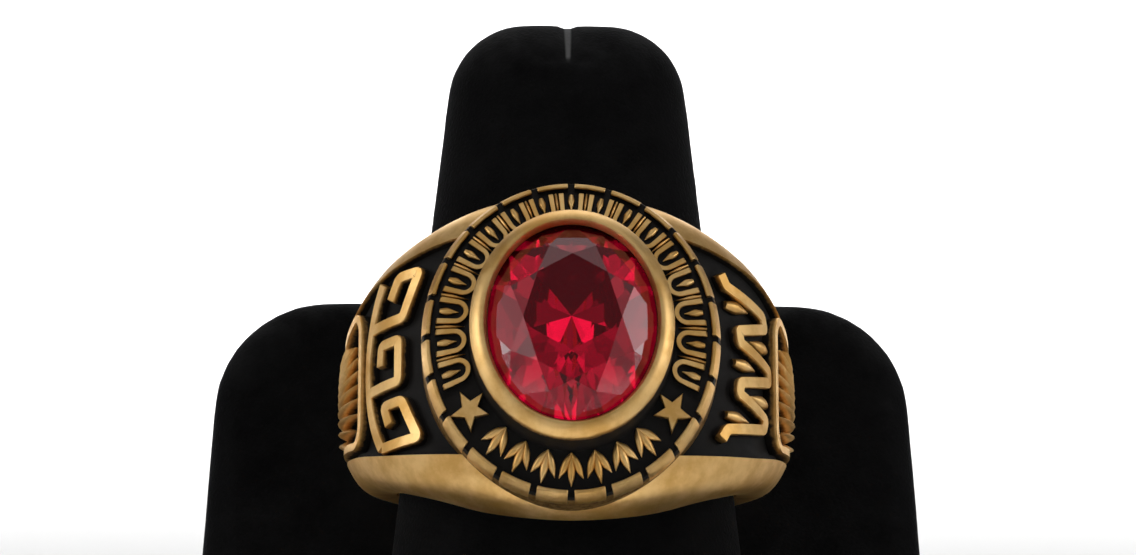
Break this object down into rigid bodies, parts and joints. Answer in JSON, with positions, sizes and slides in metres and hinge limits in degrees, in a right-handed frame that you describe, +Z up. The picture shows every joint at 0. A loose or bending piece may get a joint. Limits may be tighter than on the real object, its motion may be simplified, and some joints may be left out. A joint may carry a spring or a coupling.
{
  "type": "class ring on a display stand",
  "caption": "Cast gold class ring with an oval faceted red stone in a bezel, relief ornament on head and shoulders, resting on a leaning black velvet ring stand.",
  "frame": {"origin": "middle of the stand's footprint, on the surface it stands on", "axes": "+Z up, -Y towards the viewer and the ring's face, +X to the viewer's right"},
  "size_m": [0.0454, 0.04, 0.0486],
  "materials": {
    "gold": "antiqued yellow gold: satin on the raised work and slopes, black in the recessed panels and field",
    "stone": "polished faceted red stone",
    "velvet": "black flocked velvet"
  },
  "bodies": {
    "root": {"ring_casting": "gold", "stone": "stone", "stand_base": "velvet", "stand_finger": "velvet"}
  },
  "joints": []
}
